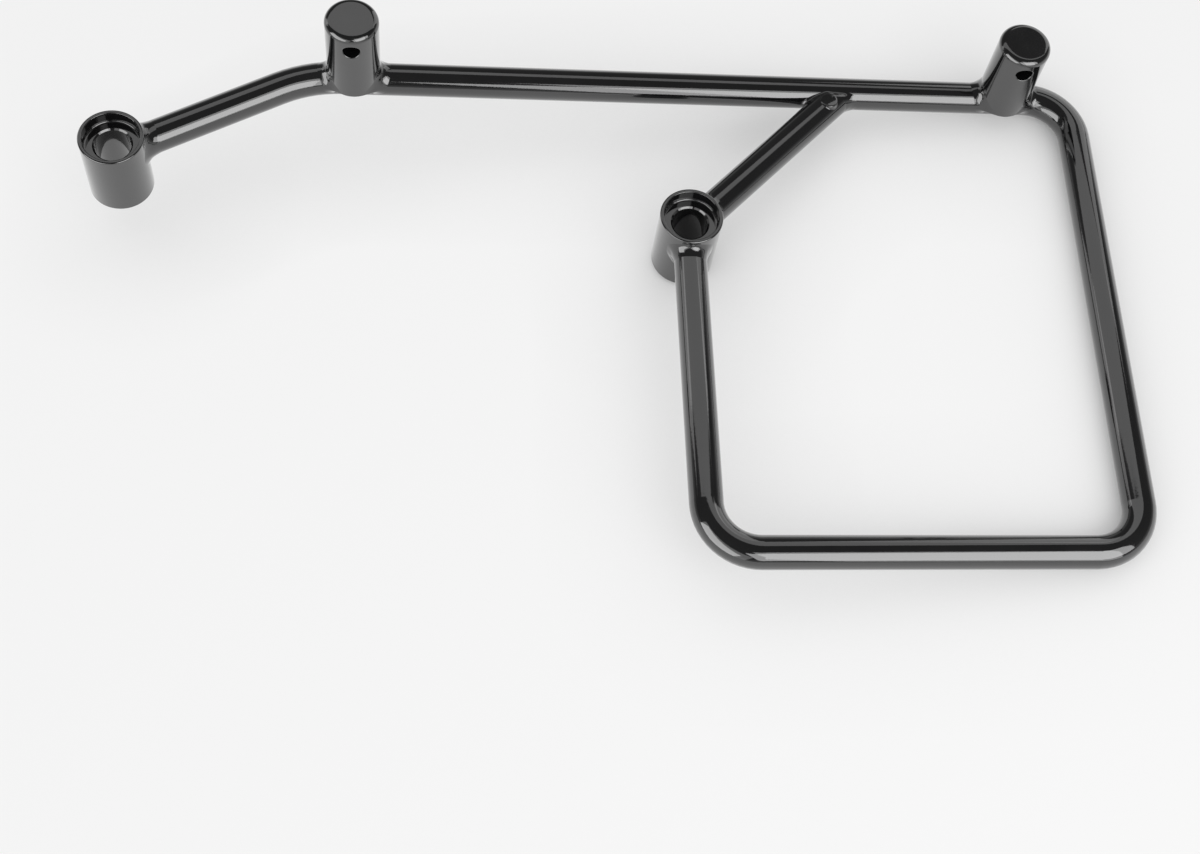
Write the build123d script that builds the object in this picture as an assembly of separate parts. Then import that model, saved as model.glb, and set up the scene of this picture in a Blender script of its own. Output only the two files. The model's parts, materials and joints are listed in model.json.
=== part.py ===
from build123d import *
import os
from math import asin, atan2, cos, degrees, hypot, radians, sin, tan

# Pannier frame: a bent steel bar with a hoop, two mounting bosses, a brace and two pegs.
#
# The frame is drawn flat first: the centrelines of its bars lie in the plane z = 0, the rail runs
# along +X from the corner of the arm, the hoop and the arm turn towards -Y, and the pegs stand up
# along +Z. At the end it is laid on the ground as it comes to rest, on the centre boss and the
# outer side of the hoop, with the origin on the ground under the middle of its box.
# All sizes are in millimetres and degrees.

# Bars
BAR_D = 12.7
RAIL_LENGTH = 308.6
ARM_LENGTH = 80.6
ARM_ANGLE = 28.0
ARM_BEND_R = 52.0
HOOP_WIDTH = 162.0
HOOP_HEIGHT = 201.0
HOOP_BEND_R = 19.0
BRACE_ANGLE = 45.0
BRACE_SETBACK = 6.0

# Bosses
BOSS_DROP = 66.7
BORE_D = 13.8
SEAT_WIDTH = 3.75
RIM_WALL = 1.55
SEAT_DEPTH = 5.2
BOSS_RISE = 10.2
BOSS_LENGTH = 31.0
BOSS_EDGE_R = 0.6
SEAT_CORNER_R = 0.8
SEAT_MOUTH_R = 0.35
BORE_CHAMFER = 0.6

# Pegs
PEG_D = 20.7
PEG_RISE = 37.0
PEG_FOOT_RISE = 2.0
PEG_EDGE_R = 2.6
PEG_HOLE_D = 6.4
PEG_HOLE_DEPTH = 7.6
PEG_HOLE_EDGE_R = 0.4
FRONT_PEG_FROM_CORNER = 17.5
REAR_PEG_FROM_CORNER = 28.6

# Welds
WELD_LEG = 2.4
WELD_CROWN = 0.6

# Two rings are the same when radius and height agree this closely
RING_MATCH = 0.01

# Places worked out from the sizes above
BAR_R = BAR_D / 2
PEG_R = PEG_D / 2
SEAT_D = BORE_D + 2 * SEAT_WIDTH
BOSS_R = SEAT_D / 2 + RIM_WALL
BOSS_FOOT = BOSS_RISE - BOSS_LENGTH
SEAT_Z = BOSS_RISE - SEAT_DEPTH
PEG_HOLE_Z = PEG_RISE - PEG_HOLE_DEPTH
PEG_HOLE_CUT = 2 * PEG_D

ARM_CORNER = Vector(0, 0, 0)
FRONT_BOSS_AT = Vector(-ARM_LENGTH * cos(radians(ARM_ANGLE)), -ARM_LENGTH * sin(radians(ARM_ANGLE)), 0)
HOOP_LEFT_X = RAIL_LENGTH - HOOP_WIDTH
CENTRE_BOSS_AT = Vector(HOOP_LEFT_X, -BOSS_DROP, 0)
BRACE_FOOT_AT = Vector(HOOP_LEFT_X + BOSS_DROP / tan(radians(BRACE_ANGLE)), 0, 0)
FRONT_PEG_AT = Vector(FRONT_PEG_FROM_CORNER, 0, 0)
REAR_PEG_AT = Vector(RAIL_LENGTH - REAR_PEG_FROM_CORNER, 0, 0)

BAR_CORNERS = [
    FRONT_BOSS_AT,
    ARM_CORNER,
    Vector(RAIL_LENGTH, 0, 0),
    Vector(RAIL_LENGTH, -HOOP_HEIGHT, 0),
    Vector(HOOP_LEFT_X, -HOOP_HEIGHT, 0),
    CENTRE_BOSS_AT,
]
BAR_BENDS = [ARM_BEND_R, HOOP_BEND_R, HOOP_BEND_R, HOOP_BEND_R]


def rod(path, radius):
    """Round bar of the given radius along a path, square at both ends."""
    return sweep((path ^ 0) * Circle(radius), path=path)


def upright(at, radius, low, high):
    """Plain cylinder that stands along Z over a point of the plan."""
    rise = Cylinder(radius, high - low, align=(Align.CENTER, Align.CENTER, Align.MIN))
    return Pos(at.X, at.Y, low) * rise


def ring_edges(solid, radius, height):
    """Circular edges of an upright turned piece, by radius and height."""
    rings = solid.edges().filter_by(GeomType.CIRCLE)
    return rings.filter_by(
        lambda e: abs(e.radius - radius) < RING_MATCH and abs(e.arc_center.Z - height) < RING_MATCH
    )


def boss(at):
    """Turned boss: through bore, counterbored seat on the peg side, eased edges."""
    body = upright(at, BOSS_R, BOSS_FOOT, BOSS_RISE)
    body -= upright(at, BORE_D / 2, BOSS_FOOT, BOSS_RISE)
    body -= upright(at, SEAT_D / 2, SEAT_Z, BOSS_RISE)
    body = fillet(ring_edges(body, BOSS_R, BOSS_RISE) + ring_edges(body, BOSS_R, BOSS_FOOT), BOSS_EDGE_R)
    body = fillet(ring_edges(body, SEAT_D / 2, SEAT_Z), SEAT_CORNER_R)
    body = fillet(ring_edges(body, SEAT_D / 2, BOSS_RISE), SEAT_MOUTH_R)
    mouths = ring_edges(body, BORE_D / 2, SEAT_Z) + ring_edges(body, BORE_D / 2, BOSS_FOOT)
    return chamfer(mouths, BORE_CHAMFER)


def peg(at, bar):
    """Solid peg with a rounded end and a cross-hole, its foot shaped over the bar."""
    body = upright(at, PEG_R, PEG_FOOT_RISE, PEG_RISE)
    body = fillet(ring_edges(body, PEG_R, PEG_RISE), PEG_EDGE_R)
    body -= Pos(at.X, at.Y, PEG_HOLE_Z) * Rot(90, 0, 0) * Cylinder(PEG_HOLE_D / 2, PEG_HOLE_CUT)
    hole_wall = body.faces().filter_by(GeomType.CYLINDER).sort_by(SortBy.RADIUS)[0]
    body = fillet(hole_wall.edges().filter_by(GeomType.LINE, reverse=True), PEG_HOLE_EDGE_R)
    return body - bar


def weld(sleeve_a, sleeve_b, pieces):
    """Bead that fills the corner within reach of both sleeves and stops at the pieces it joins."""
    bead = sleeve_a & sleeve_b
    for piece in pieces:
        bead -= piece
    return bead


bar_path = FilletPolyline(*BAR_CORNERS, radius=BAR_BENDS)
brace_path = Line(CENTRE_BOSS_AT, BRACE_FOOT_AT)
boss_spots = {"front": FRONT_BOSS_AT, "centre": CENTRE_BOSS_AT}
peg_spots = {"front": FRONT_PEG_AT, "rear": REAR_PEG_AT}

# Sleeves reach one weld leg beyond the pieces they surround.
SLEEVE_R = BAR_R + WELD_LEG
bar_sleeve = rod(bar_path, SLEEVE_R)
brace_sleeve = rod(brace_path, SLEEVE_R)
boss_barrels = {key: upright(at, BOSS_R, BOSS_FOOT, BOSS_RISE) for key, at in boss_spots.items()}
boss_sleeves = {key: upright(at, BOSS_R + WELD_LEG, -SLEEVE_R, SLEEVE_R) for key, at in boss_spots.items()}
peg_sleeves = {
    key: upright(at, PEG_R + WELD_LEG, PEG_FOOT_RISE - WELD_LEG, SLEEVE_R) for key, at in peg_spots.items()
}

# The foot of the brace is cut straight, along the side of the rail, and the bead fills the groove
# above and below it. The bead stands no higher than the crown over the bars.
FOOT_SIDE = 4 * BAR_D
CROWN_HEIGHT = BAR_D + 2 * WELD_CROWN
cut_at = BRACE_FOOT_AT + Vector(0, FOOT_SIDE / 2 - BRACE_SETBACK, 0)
beyond_foot = Pos(cut_at) * Box(FOOT_SIDE, FOOT_SIDE, FOOT_SIDE)
crown_slab = Pos(BRACE_FOOT_AT) * Box(FOOT_SIDE, FOOT_SIDE, CROWN_HEIGHT)

nodes = {}
nodes["main_bar"] = rod(bar_path, BAR_R) - boss_barrels["front"] - boss_barrels["centre"]
nodes["brace_bar"] = rod(brace_path, BAR_R) - boss_barrels["centre"] - beyond_foot - nodes["main_bar"]
for key, at in boss_spots.items():
    nodes[f"{key}_boss"] = boss(at)
for key, at in peg_spots.items():
    nodes[f"{key}_peg"] = peg(at, nodes["main_bar"])

nodes["arm_weld"] = weld(bar_sleeve, boss_sleeves["front"], [nodes["main_bar"], boss_barrels["front"]])
nodes["hoop_weld"] = weld(bar_sleeve, boss_sleeves["centre"], [nodes["main_bar"], boss_barrels["centre"]])
nodes["brace_boss_weld"] = weld(
    brace_sleeve, boss_sleeves["centre"], [nodes["brace_bar"], boss_barrels["centre"]]
)
nodes["brace_rail_weld"] = weld(
    brace_sleeve & crown_slab, bar_sleeve, [nodes["brace_bar"], nodes["main_bar"]]
)
for key in peg_spots:
    nodes[f"{key}_peg_weld"] = weld(
        bar_sleeve, peg_sleeves[key], [nodes["main_bar"], nodes[f"{key}_peg"]]
    )

# Lie of the frame: the ground touches the rim of the centre boss and the outer side of the hoop.
REACH = HOOP_WIDTH - BOSS_R + BOSS_EDGE_R
DROP = -BOSS_FOOT - BOSS_EDGE_R
LEAN = degrees(atan2(DROP, REACH) - asin((BAR_R - BOSS_EDGE_R) / hypot(REACH, DROP)))
leaning = {name: Rot(0, LEAN, 0) * solid for name, solid in nodes.items()}
box = Compound(list(leaning.values())).bounding_box()
ON_GROUND = Pos(-box.center().X, -box.center().Y, -box.min.Z)

os.makedirs("parts", exist_ok=True)
for name, solid in leaning.items():
    export_step(ON_GROUND * solid, f"parts/{name}.step")
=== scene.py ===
import json
import math

import bpy
import numpy as np
from mathutils import Matrix, Vector, noise


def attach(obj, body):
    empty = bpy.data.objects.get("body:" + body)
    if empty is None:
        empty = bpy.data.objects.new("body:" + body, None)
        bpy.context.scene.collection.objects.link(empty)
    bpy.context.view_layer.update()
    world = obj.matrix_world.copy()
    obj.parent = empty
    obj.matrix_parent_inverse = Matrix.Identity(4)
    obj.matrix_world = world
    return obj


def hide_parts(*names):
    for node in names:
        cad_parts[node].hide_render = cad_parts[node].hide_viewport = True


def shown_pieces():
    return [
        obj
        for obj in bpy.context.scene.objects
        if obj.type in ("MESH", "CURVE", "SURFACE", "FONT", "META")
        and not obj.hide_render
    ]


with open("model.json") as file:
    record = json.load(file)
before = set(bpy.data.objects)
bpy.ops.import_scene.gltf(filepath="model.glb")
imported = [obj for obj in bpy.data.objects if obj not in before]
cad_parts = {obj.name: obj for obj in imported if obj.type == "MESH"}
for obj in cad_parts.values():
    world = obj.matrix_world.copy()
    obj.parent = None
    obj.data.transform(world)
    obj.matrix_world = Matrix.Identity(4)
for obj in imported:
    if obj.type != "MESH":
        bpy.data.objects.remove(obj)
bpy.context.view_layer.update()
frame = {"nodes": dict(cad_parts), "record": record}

# Lengths are in metres and angles in degrees. The flat frame of the part has its bars in one plane,
# the rail along x, the hoop towards -y and the pegs along z; its axes come from the part's mounts.

# Camera; lens and sensor are in millimetres, and the shift is in pixels of the picture
CAMERA_AT = Vector((-0.01244, -0.34331, 0.62295))
CAMERA_AIM = Vector((0.01676, -0.04184, 0.0))
CAMERA_ROLL = 3.048
CAMERA_LENS = 54.76
CAMERA_SENSOR = 36.0
CAMERA_SHIFT_PIXELS = -58
PICTURE_WIDTH_PIXELS = 1200
CAMERA_NEAR = 0.01
CAMERA_FAR = 50.0

# Pieces of the part that the welds join; rises and drops count from the plane of the bars
BAR_R = 0.00635
BOSS_R = 0.0122
BOSS_FOOT = -0.0208
BOSS_RISE = 0.0102
BOSS_EDGE_R = 0.0006
PEG_R = 0.01035
PEG_FOOT_RISE = 0.002
PEG_RISE = 0.037
BORE_MIDDLE_DROP = 0.0079
POST_MIDDLE_RISE = 0.022875
ARM_ANGLE = 28.0
ARM_BEND_R = 0.052
FRONT_PEG_TO_BEND = 0.00453
HOOP_BEND_R = 0.019
REAR_PEG_TO_BEND = 0.0096
BRACE_ANGLE = 45.0
BRACE_SETBACK = 0.006
BOSS_DROP = 0.0667

# Weld beads; the skin of each is found along rays that fan out from a root inside the corner
BEAD_DEPTH = 0.001
BEAD_TURNS = 280
BEAD_FAN = 84
BEAD_FIRST = 4.0
FOOT_LAST = 160.0
PEG_LAST = 170.0
BEAD_LIMIT = 0.0042
BEAD_REACH = 0.014
BEAD_STEP = 0.0004
BEAD_HALVINGS = 18

# Two directions are parallel when their cross product is shorter than this
PARALLEL = 0.0001

# Beside the fillet a bead's skin lies just under the pieces that it joins
BEAD_SINK = 0.00012

# The legs of a fillet wander slowly round the bead, and finer lumps lie on its surface
LEG_WAVE = 0.009
LEG_WANDER = 0.22
LUMP_WAVE = 0.0034
LUMP_HEIGHT = 0.00022

# Foot of the brace: its weld starts deeper, is built up over the cut and carries a flat dab
FOOT_DEPTH = 0.0032
FOOT_BUILD = 0.0015
DAB_ALONG = 0.0112
DAB_ASIDE = 0.0012
DAB_LEAN = -7.0
DAB_R = 0.0036
DAB_RISE = 0.0001
DAB_EDGE_R = 0.0006
DAB_MELT = 0.0007

# Gloss black coat; a noise has its waves per metre, its detail and its roughness
COAT_DARK = (0.0020, 0.0020, 0.0022, 1.0)
COAT_PALE = (0.0045, 0.0045, 0.0048, 1.0)
TINT_NOISE = (55.0, 4.0, 0.55)
TINT_FROM = 0.35
TINT_TO = 0.7
HAZE_NOISE = (160.0, 5.0, 0.6)
HAZE_FROM = 0.3
HAZE_TO = 0.7
CLEAR_ROUGHNESS = 0.06
HAZY_ROUGHNESS = 0.11
WAVE_NOISE = (150.0, 2.0, 0.5)
WAVE_DEPTH = 0.0004
PEEL_NOISE = (1100.0, 2.0, 0.5)
PEEL_DEPTH = 0.0001
PAINT_IOR = 1.6
LACQUER_IOR = 1.55
LACQUER_ROUGHNESS = 0.035

# Studio
STUDIO_AIM = Vector((0.03, 0.0, 0.03))
BOARD_AT = Vector((-0.198, 0.508, 1.056))
BOARD_WAY = Vector((-0.128, -0.973, 0.193))
CARD_AT = Vector((-0.60, 0.37, 0.25))
HORIZON = 0.42
ZENITH = 0.11
SKY_FADE = 0.3
FLOOR_SIDE = 14.0
FLOOR_CELLS = 8
FLOOR_COLOUR = 0.50
FLOOR_ROUGHNESS = 0.9
FLOOR_SPECULAR = 0.1
FLOOR_GLOW = 0.82
# Near the part the floor's glow dims as painted shade, out to this reach
FLOOR_SHADE_REACH = 0.06
# Painted pool of light on the floor: its glow fades between these distances down to the sky's tone
FLOOR_PAINTED_POOL_FROM = 0.8
FLOOR_PAINTED_POOL_TO = 4.0

# Axes of the flat frame, from the bores of the bosses and the cross-holes of the pegs
MOUNTS = {mount["name"]: mount for mount in frame["record"]["mounts"]}
UP = Vector(MOUNTS["front_bore"]["axis"]).normalized()
ACROSS = Vector(MOUNTS["front_peg_hole"]["axis"]).normalized()
ALONG = ACROSS.cross(UP).normalized()


def mount_point(name, rise):
    """A mount's place, moved along the flat frame's z into the plane of the bars."""
    return Vector(MOUNTS[name]["pos_m"]) + UP * rise


def heading(angle):
    """Direction in the plane of the bars, turned from the rail's own direction away from the hoop."""
    a = math.radians(angle)
    return ALONG * math.cos(a) + ACROSS * math.sin(a)


def from_axis(points, at, way):
    """How far points lie along a line and away from it."""
    offset = points - np.array(at)
    along = offset @ np.array(way)
    return along, np.linalg.norm(offset - along[..., None] * np.array(way), axis=-1)


def round_bar(at, way, radius):
    """Clearance from a straight round bar."""
    return lambda points: from_axis(points, at, way)[1] - radius


def eased(side, end, edge):
    """Clearance from what lies within two clearances, with its edge rounded."""
    side = side + edge
    end = end + edge
    beyond = np.hypot(np.maximum(side, 0), np.maximum(end, 0))
    return np.minimum(np.maximum(side, end), 0) + beyond - edge


def mitred_bar(at, way, radius, cut_at, cut_way, edge):
    """Clearance from a straight round bar that ends in a slanting cut with a rounded edge."""

    def clearance(points):
        beyond = (points - np.array(cut_at)) @ np.array(cut_way)
        return eased(from_axis(points, at, way)[1] - radius, beyond, edge)

    return clearance


def post(at, way, radius, low, high, edge):
    """Clearance from a round post with flat ends and rounded edges."""

    def clearance(points):
        along, off = from_axis(points, at, way)
        return eased(off - radius, np.maximum(low - along, along - high), edge)

    return clearance


def melted(piece_a, piece_b, reach):
    """Clearance from two pieces that run softly into each other."""

    def clearance(points):
        a = piece_a(points)
        b = piece_b(points)
        return np.minimum(a, b) - np.maximum(reach - np.abs(a - b), 0) ** 2 / (4 * reach)

    return clearance


def bent_bar(at, way, radius, straight, bend, turn):
    """Clearance from a round bar that runs straight and then bends towards one side."""
    centre = at + way * straight + turn * bend

    def clearance(points):
        along, off = from_axis(points, at, way)
        rise, flat = from_axis(points, centre, UP)
        return np.where(along > straight, np.hypot(flat - bend, rise), off) - radius

    return clearance


def filled(points, piece_a, piece_b, leg_a, leg_b):
    """Sunk union of two pieces with a hollow fillet between them, and how deep in the fillet a point is."""
    a = (piece_a(points) + BEAD_SINK) / leg_b
    b = (piece_b(points) + BEAD_SINK) / leg_a
    blend = np.maximum(1 - np.abs(a - b), 0)
    return np.minimum(a, b) - blend ** 2 / 4, blend


def wander(places, wave, seed):
    """Smooth noise at each place, about -1 to 1, with waves of the given length."""
    shift = Vector((seed, 0, 0))
    return np.array([noise.noise(Vector(p) / wave + shift) for p in places])


def fan(way, root, last):
    """Rays in half-planes all round a bar's axis, as their starts and their directions.

    For each direction out of the axis, the rays start at root(out) and turn from the bar's direction to
    the angle last(out).
    """
    side = UP.cross(way)
    if side.length < PARALLEL:
        side = ACROSS
    side = side.normalized()
    rise = way.cross(side)
    origins, rays = [], []
    for i in range(BEAD_TURNS):
        turn = 2 * math.pi * i / BEAD_TURNS
        out = side * math.cos(turn) + rise * math.sin(turn)
        origins.append(root(out))
        angles = np.radians(np.linspace(BEAD_FIRST, last(out), BEAD_FAN))
        rays.append([way * math.cos(a) + out * math.sin(a) for a in angles])
    return np.array(origins), np.array(rays)


def first_exit(inside, shape):
    """How far each ray runs before it first leaves a solid; inside(lengths) tests all the rays at once."""
    low = np.zeros(shape)
    growing = np.ones(shape, bool)
    for step in np.arange(BEAD_STEP, BEAD_REACH, BEAD_STEP):
        growing &= inside(np.full(shape, step))
        low = np.where(growing, step, low)
    high = np.minimum(low + BEAD_STEP, BEAD_REACH)
    for _ in range(BEAD_HALVINGS):
        middle = (low + high) / 2
        within = inside(middle)
        low = np.where(within, middle, low)
        high = np.where(within, high, middle)
    return low


def collar(name, node, way, root, last, pieces, legs, seed):
    """Weld round a bar: its rays end on the fillet between two pieces, with lumps on the fillet.

    The pieces are the bar and what it meets, and legs holds the fillet's length on each of them.
    """
    origins, rays = fan(way, root, last)
    wandering = 1 + LEG_WANDER * wander(origins, LEG_WAVE, seed)[:, None]
    leg_a = legs[0] * wandering
    leg_b = legs[1] * wandering

    def inside(lengths):
        points = origins[:, None] + rays * lengths[..., None]
        return filled(points, *pieces, leg_a, leg_b)[0] < 0

    lengths = first_exit(inside, rays.shape[:2])
    points = origins[:, None] + rays * lengths[..., None]
    blend = filled(points, *pieces, leg_a, leg_b)[1]
    lumps = wander(points.reshape(-1, 3), LUMP_WAVE, seed).reshape(blend.shape)
    points += rays * (LUMP_HEIGHT * blend * lumps)[..., None]
    rows = np.concatenate([points, origins[:, None]], axis=1)
    add_weld(name, node, rows)


def add_weld(name, node, rows):
    """Closed skin through the rows, as a piece that stands for a weld's CAD node."""
    turns, width = rows.shape[:2]
    faces = []
    for i in range(turns):
        j = (i + 1) % turns
        for k in range(width):
            m = (k + 1) % width
            faces.append((i * width + k, i * width + m, j * width + m, j * width + k))
    mesh = bpy.data.meshes.new(name)
    mesh.from_pydata(rows.reshape(-1, 3).tolist(), [], faces)
    mesh.shade_smooth()
    piece = bpy.data.objects.new(name, mesh)
    bpy.context.scene.collection.objects.link(piece)
    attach(piece, "root")
    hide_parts(node)


def butt_weld(name, node, boss_at, bar_way, legs, seed):
    """Weld where a bar meets the wall of a boss; its rays stop on the wall, just past the fillet."""
    bar = round_bar(boss_at, bar_way, BAR_R)
    boss = post(boss_at, UP, BOSS_R, BOSS_FOOT, BOSS_RISE, BOSS_EDGE_R)
    across = UP.cross(bar_way)

    def wall(out, off):
        return math.sqrt(BOSS_R ** 2 - (off * out.dot(across)) ** 2)

    def root(out):
        return boss_at + bar_way * (wall(out, BAR_R) - BEAD_DEPTH) + out * (BAR_R - BEAD_DEPTH)

    def last(out):
        run = wall(out, BAR_R + BEAD_LIMIT) - wall(out, BAR_R) + BEAD_DEPTH
        return math.degrees(math.atan2(BEAD_LIMIT + BEAD_DEPTH, run))

    collar(name, node, bar_way, root, last, (bar, boss), legs, seed)


def foot_weld(name, node, foot_at, brace_way, legs, seed):
    """Weld in the groove round the mitred foot of the brace, built up a little over the cut."""
    cut_at = foot_at - ACROSS * (BRACE_SETBACK - FOOT_BUILD)
    brace = mitred_bar(foot_at, brace_way, BAR_R, cut_at, ACROSS, FOOT_BUILD)
    dab_at = foot_at + brace_way * DAB_ALONG + UP.cross(brace_way) * DAB_ASIDE
    dab_way = (UP - ACROSS * math.tan(math.radians(DAB_LEAN))).normalized()
    dab = post(dab_at, dab_way, DAB_R, 0.0, BAR_R + DAB_RISE, DAB_EDGE_R)
    end = melted(brace, dab, DAB_MELT)
    rail = round_bar(foot_at, ALONG, BAR_R)
    inner = BAR_R - FOOT_DEPTH

    def root(out):
        along = -(BRACE_SETBACK + inner * out.dot(ACROSS)) / brace_way.dot(ACROSS)
        return foot_at + brace_way * along + out * inner

    collar(name, node, brace_way, root, lambda out: FOOT_LAST, (end, rail), legs, seed)


def peg_weld(name, node, peg_at, rail, legs, seed):
    """Weld round the foot of a peg, over the rail and under the foot's two lobes."""
    peg = post(peg_at, UP, PEG_R, PEG_FOOT_RISE, PEG_RISE, 0.0)

    def root(out):
        swing = PEG_R * out.dot(ACROSS)
        top = math.sqrt(max(0.0, BAR_R ** 2 - swing ** 2))
        corner = max(top, PEG_FOOT_RISE + 2 * BEAD_DEPTH)
        return peg_at + UP * (corner - BEAD_DEPTH) + out * (PEG_R - BEAD_DEPTH)

    collar(name, node, UP, root, lambda out: PEG_LAST, (peg, rail), legs, seed)


def add_welds():
    """The six welds of the part."""
    front_boss = mount_point("front_bore", BORE_MIDDLE_DROP)
    centre_boss = mount_point("centre_bore", BORE_MIDDLE_DROP)
    front_peg = mount_point("front_peg_post", -POST_MIDDLE_RISE)
    rear_peg = mount_point("rear_peg_post", -POST_MIDDLE_RISE)
    arm = heading(ARM_ANGLE)
    brace = heading(BRACE_ANGLE)
    brace_foot = centre_boss + (ALONG / math.tan(math.radians(BRACE_ANGLE)) + ACROSS) * BOSS_DROP
    front_rail = bent_bar(front_peg, -ALONG, BAR_R, FRONT_PEG_TO_BEND, ARM_BEND_R, -ACROSS)
    rear_rail = bent_bar(rear_peg, ALONG, BAR_R, REAR_PEG_TO_BEND, HOOP_BEND_R, -ACROSS)

    butt_weld("bead_arm", "arm_weld", front_boss, arm, legs=(0.0078, 0.0034), seed=1.0)
    butt_weld("bead_hoop", "hoop_weld", centre_boss, -ACROSS, legs=(0.0052, 0.0034), seed=21.0)
    butt_weld("bead_brace_top", "brace_boss_weld", centre_boss, brace, legs=(0.0048, 0.0034), seed=3.0)
    foot_weld("bead_brace_foot", "brace_rail_weld", brace_foot, -brace, legs=(0.0030, 0.0028), seed=4.0)
    peg_weld("bead_front_peg", "front_peg_weld", front_peg, front_rail, legs=(0.0048, 0.0054), seed=5.0)
    peg_weld("bead_rear_peg", "rear_peg_weld", rear_peg, rear_rail, legs=(0.0048, 0.0050), seed=9.0)


def grey(level):
    """Opaque grey of one level."""
    return (level, level, level, 1.0)


def new_material(name):
    """Material with its nodes, its links and its main shader."""
    material = bpy.data.materials.new(name)
    material.use_nodes = True
    nodes = material.node_tree.nodes
    return material, nodes, material.node_tree.links, nodes["Principled BSDF"]


def dress(piece, material):
    """Gives a piece one material."""
    piece.data.materials.clear()
    piece.data.materials.append(material)


def add_noise(nodes, links, scale, detail, roughness):
    """Noise in the part's own space, in waves per metre."""
    place = nodes.new("ShaderNodeTexCoord")
    field = nodes.new("ShaderNodeTexNoise")
    field.inputs["Scale"].default_value = scale
    field.inputs["Detail"].default_value = detail
    field.inputs["Roughness"].default_value = roughness
    links.new(place.outputs["Object"], field.inputs["Vector"])
    return field.outputs["Fac"]


def add_ramp(nodes, low, low_colour, high, high_colour):
    """Ramp between two colours at two places."""
    ramp = nodes.new("ShaderNodeValToRGB")
    ramp.color_ramp.elements[0].position = low
    ramp.color_ramp.elements[0].color = low_colour
    ramp.color_ramp.elements[1].position = high
    ramp.color_ramp.elements[1].color = high_colour
    return ramp


def add_range(nodes, links, source, from_low, from_high, to_low, to_high):
    """Maps one range of a value to another and holds it at the ends."""
    reach = nodes.new("ShaderNodeMapRange")
    reach.inputs["From Min"].default_value = from_low
    reach.inputs["From Max"].default_value = from_high
    reach.inputs["To Min"].default_value = to_low
    reach.inputs["To Max"].default_value = to_high
    links.new(source, reach.inputs["Value"])
    return reach


def add_bump(nodes, links, height, strength, depth):
    """Bump from a height."""
    bump = nodes.new("ShaderNodeBump")
    bump.inputs["Strength"].default_value = strength
    bump.inputs["Distance"].default_value = depth
    links.new(height, bump.inputs["Height"])
    return bump


def combine(nodes, links, operation, first, second):
    """Math node fed by two sockets."""
    step = nodes.new("ShaderNodeMath")
    step.operation = operation
    links.new(first, step.inputs[0])
    links.new(second, step.inputs[1])
    return step.outputs["Value"]


def gloss_coat(name, peel, lump):
    """Gloss black coat: faint colour drift, hazy patches, fine orange peel and slower waves."""
    material, nodes, links, shader = new_material(name)
    tint = add_ramp(nodes, TINT_FROM, COAT_DARK, TINT_TO, COAT_PALE)
    links.new(add_noise(nodes, links, *TINT_NOISE), tint.inputs["Fac"])
    links.new(tint.outputs["Color"], shader.inputs["Base Color"])
    haze = add_noise(nodes, links, *HAZE_NOISE)
    rough = add_range(nodes, links, haze, HAZE_FROM, HAZE_TO, CLEAR_ROUGHNESS, HAZY_ROUGHNESS)
    links.new(rough.outputs["Result"], shader.inputs["Roughness"])
    waves = add_bump(nodes, links, add_noise(nodes, links, *WAVE_NOISE), lump, WAVE_DEPTH)
    grain = add_bump(nodes, links, add_noise(nodes, links, *PEEL_NOISE), peel, PEEL_DEPTH)
    links.new(waves.outputs["Normal"], grain.inputs["Normal"])
    links.new(grain.outputs["Normal"], shader.inputs["Normal"])
    links.new(grain.outputs["Normal"], shader.inputs["Coat Normal"])
    shader.inputs["IOR"].default_value = PAINT_IOR
    shader.inputs["Coat Weight"].default_value = 1.0
    shader.inputs["Coat Roughness"].default_value = LACQUER_ROUGHNESS
    shader.inputs["Coat IOR"].default_value = LACQUER_IOR
    return material


def coat_part():
    """Puts the coat on the part's own nodes and on the welds."""
    coats = {
        "coated_steel": gloss_coat("gloss_coat", peel=0.05, lump=0.03),
        "coated_weld": gloss_coat("gloss_coat_on_weld", peel=0.06, lump=0.06),
    }
    for row in frame["record"]["subparts"]:
        dress(frame["nodes"][row["node"]], coats[row["material_slot"]])
    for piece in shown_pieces():
        if piece.name.startswith("bead_"):
            dress(piece, coats["coated_weld"])


def around(azimuth, zenith, distance):
    """Place seen from the middle of the part; azimuth 0 is in front and 90 on +X, zenith 0 is overhead."""
    a = math.radians(azimuth)
    z = math.radians(zenith)
    way = Vector((math.sin(a) * math.sin(z), -math.cos(a) * math.sin(z), math.cos(z)))
    return STUDIO_AIM + way * distance


def softbox(name, at, roll, width, height, radiance, aim=STUDIO_AIM):
    """Soft rectangle of light that faces a point; its width is level when it isn't rolled."""
    facing = (at - aim).normalized()
    rise = (Vector((0, 0, 1)) - facing * facing.z).normalized()
    turn = Matrix((rise.cross(facing), rise, facing)).transposed().to_4x4()
    lamp = bpy.data.lights.new(name, "AREA")
    lamp.shape = "RECTANGLE"
    lamp.size = width
    lamp.size_y = height
    lamp.energy = radiance * math.pi * width * height
    holder = bpy.data.objects.new(name, lamp)
    holder.matrix_world = Matrix.Translation(at) @ turn @ Matrix.Rotation(math.radians(roll), 4, "Z")
    bpy.context.scene.collection.objects.link(holder)


def light_studio():
    """Lamps in front on the right, on the left and behind."""
    softbox("key_box", around(33.9, 60.6, 0.73), roll=1.2, width=0.85, height=0.53, radiance=2.75)
    softbox("key_box_core", around(34.0, 60.0, 1.17), roll=-6.3, width=0.78, height=1.24, radiance=1.81)
    softbox("left_box", around(-51.6, 73.1, 2.95), roll=-22.4, width=3.23, height=2.10, radiance=2.73)
    softbox("left_wall", around(-44.6, 69.1, 2.75), roll=-14.4, width=4.00, height=2.53, radiance=0.91)
    softbox(
        "back_board", BOARD_AT, roll=-1.4, width=1.54, height=1.44, radiance=0.75, aim=BOARD_AT + BOARD_WAY
    )
    softbox("left_card", CARD_AT, roll=0.0, width=0.22, height=0.34, radiance=0.9)
    softbox("back_wall", around(139.4, 69.0, 2.20), roll=-3.1, width=1.28, height=1.52, radiance=0.94)


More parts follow.
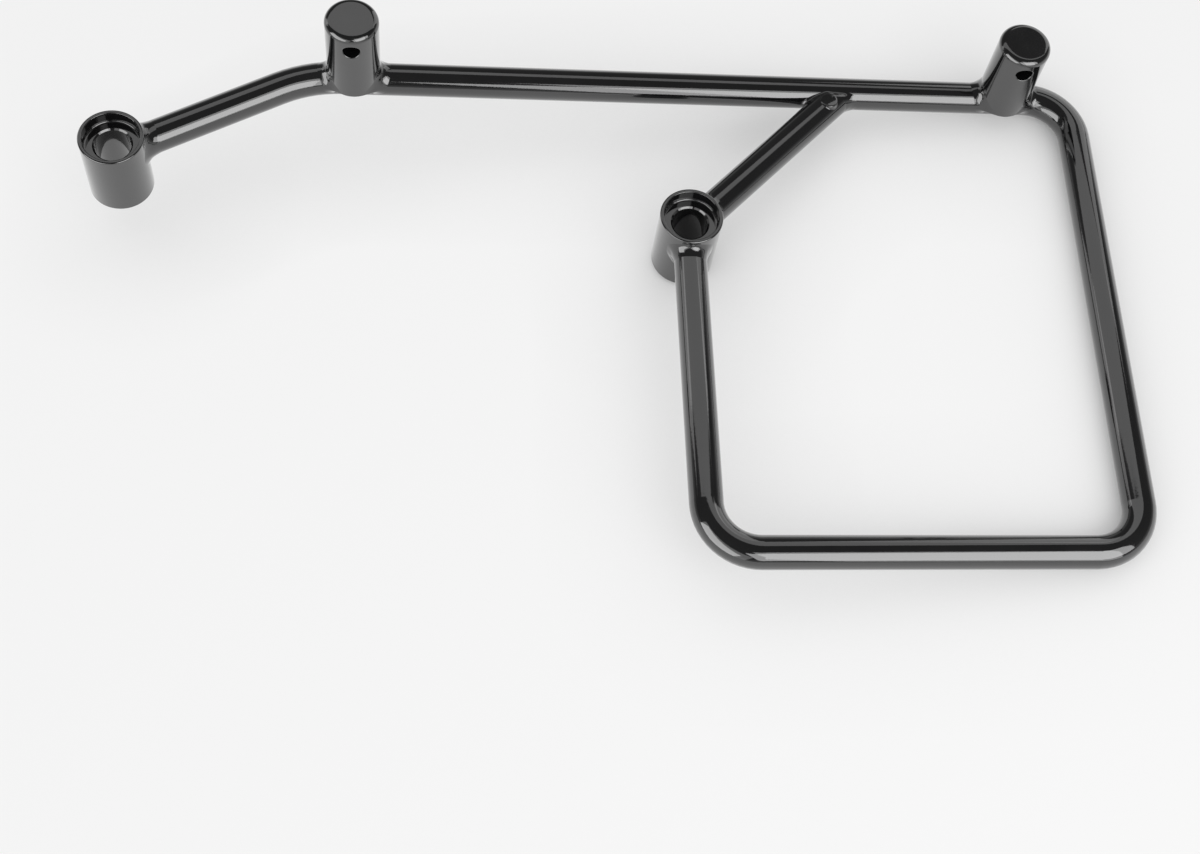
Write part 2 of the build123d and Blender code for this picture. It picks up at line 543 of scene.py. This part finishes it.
def add_sky():
    """World that is paler at the horizon than overhead."""
    world = bpy.data.worlds.new("studio")
    bpy.context.scene.world = world
    world.use_nodes = True
    nodes = world.node_tree.nodes
    links = world.node_tree.links
    way = nodes.new("ShaderNodeTexCoord")
    parts = nodes.new("ShaderNodeSeparateXYZ")
    ramp = add_ramp(nodes, 0.0, grey(HORIZON), SKY_FADE, grey(ZENITH))
    links.new(way.outputs["Generated"], parts.inputs["Vector"])
    links.new(parts.outputs["Z"], ramp.inputs["Fac"])
    links.new(ramp.outputs["Color"], nodes["Background"].inputs["Color"])


def floor_paper():
    """Pale paper that glows where it is seen; near the part the glow dims as painted shade over the real
    shadow, and a painted pool of light fades it to the sky's tone far off.
    """
    paper, nodes, links, shader = new_material("floor_paper")
    shader.inputs["Base Color"].default_value = grey(FLOOR_COLOUR)
    shader.inputs["Roughness"].default_value = FLOOR_ROUGHNESS
    shader.inputs["Specular IOR Level"].default_value = FLOOR_SPECULAR

    rays = nodes.new("ShaderNodeLightPath").outputs
    # Ambient occlusion dims the glow near the part: painted shade under and beside it, over the paper's
    # real shadow
    shade = nodes.new("ShaderNodeAmbientOcclusion")
    shade.inputs["Distance"].default_value = FLOOR_SHADE_REACH
    shade.inputs["Color"].default_value = grey(FLOOR_GLOW)
    seen = combine(nodes, links, "MAXIMUM", rays["Is Camera Ray"], rays["Is Glossy Ray"])
    seen = combine(nodes, links, "MAXIMUM", seen, rays["Is Transmission Ray"])
    share = combine(nodes, links, "MULTIPLY", seen, shade.outputs["Color"])

    # Painted pool of light: the glow fades with distance from the middle of the floor down to the sky's
    # tone far off
    spot = nodes.new("ShaderNodeTexCoord")
    distance = nodes.new("ShaderNodeVectorMath")
    distance.operation = "LENGTH"
    links.new(spot.outputs["Object"], distance.inputs[0])
    painted_pool_far = HORIZON / FLOOR_GLOW
    painted_pool = add_range(nodes, links, distance.outputs["Value"], FLOOR_PAINTED_POOL_FROM, FLOOR_PAINTED_POOL_TO, 1.0, painted_pool_far)
    painted_pool.interpolation_type = "SMOOTHSTEP"

    white = nodes.new("ShaderNodeEmission")
    links.new(painted_pool.outputs["Result"], white.inputs["Strength"])
    blend = nodes.new("ShaderNodeMixShader")
    links.new(share, blend.inputs["Fac"])
    links.new(shader.outputs["BSDF"], blend.inputs[1])
    links.new(white.outputs["Emission"], blend.inputs[2])
    links.new(blend.outputs["Shader"], nodes["Material Output"].inputs["Surface"])
    return paper


def add_floor():
    """Level sheet of paper on the ground."""
    bpy.ops.mesh.primitive_grid_add(
        x_subdivisions=FLOOR_CELLS, y_subdivisions=FLOOR_CELLS, size=FLOOR_SIDE, location=(0, 0, 0)
    )
    floor = bpy.context.object
    floor.name = "floor"
    dress(floor, floor_paper())


def add_camera():
    """Camera at the photograph's viewing angle."""
    camera_data = bpy.data.cameras.new("camera")
    camera_data.lens = CAMERA_LENS
    camera_data.sensor_width = CAMERA_SENSOR
    camera_data.sensor_fit = "HORIZONTAL"
    camera_data.shift_x = CAMERA_SHIFT_PIXELS / PICTURE_WIDTH_PIXELS
    camera_data.clip_start = CAMERA_NEAR
    camera_data.clip_end = CAMERA_FAR
    camera = bpy.data.objects.new("camera", camera_data)
    look = (CAMERA_AIM - CAMERA_AT).to_track_quat("-Z", "Y").to_matrix().to_4x4()
    roll = Matrix.Rotation(math.radians(CAMERA_ROLL), 4, "Z")
    camera.matrix_world = Matrix.Translation(CAMERA_AT) @ look @ roll
    bpy.context.scene.collection.objects.link(camera)
    bpy.context.scene.camera = camera
    bpy.context.scene.view_settings.view_transform = "Standard"


add_welds()
coat_part()
light_studio()
add_sky()
add_floor()
add_camera()
